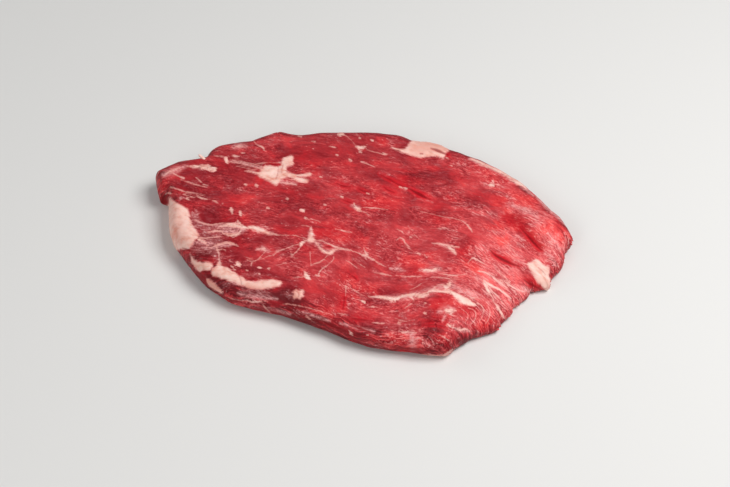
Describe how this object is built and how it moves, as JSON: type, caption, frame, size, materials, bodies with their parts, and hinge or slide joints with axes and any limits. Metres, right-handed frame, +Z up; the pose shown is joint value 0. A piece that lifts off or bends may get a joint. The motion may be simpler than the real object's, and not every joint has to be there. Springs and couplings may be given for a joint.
{
  "type": "raw flank steak",
  "caption": "Raw flank steak: a flat oval piece of red beef with long grain, patches and streaks of pale fat, and one thin ragged end.",
  "frame": {"origin": "under the middle of the steak, on the surface that it lies on", "axes": "+X along the muscle towards its thin ragged end, +Y across it, +Z up"},
  "size_m": [0.335, 0.2102, 0.0285],
  "materials": {
    "raw_beef": "moist raw meat"
  },
  "bodies": {
    "root": {"flank_steak": "raw_beef"}
  },
  "joints": []
}
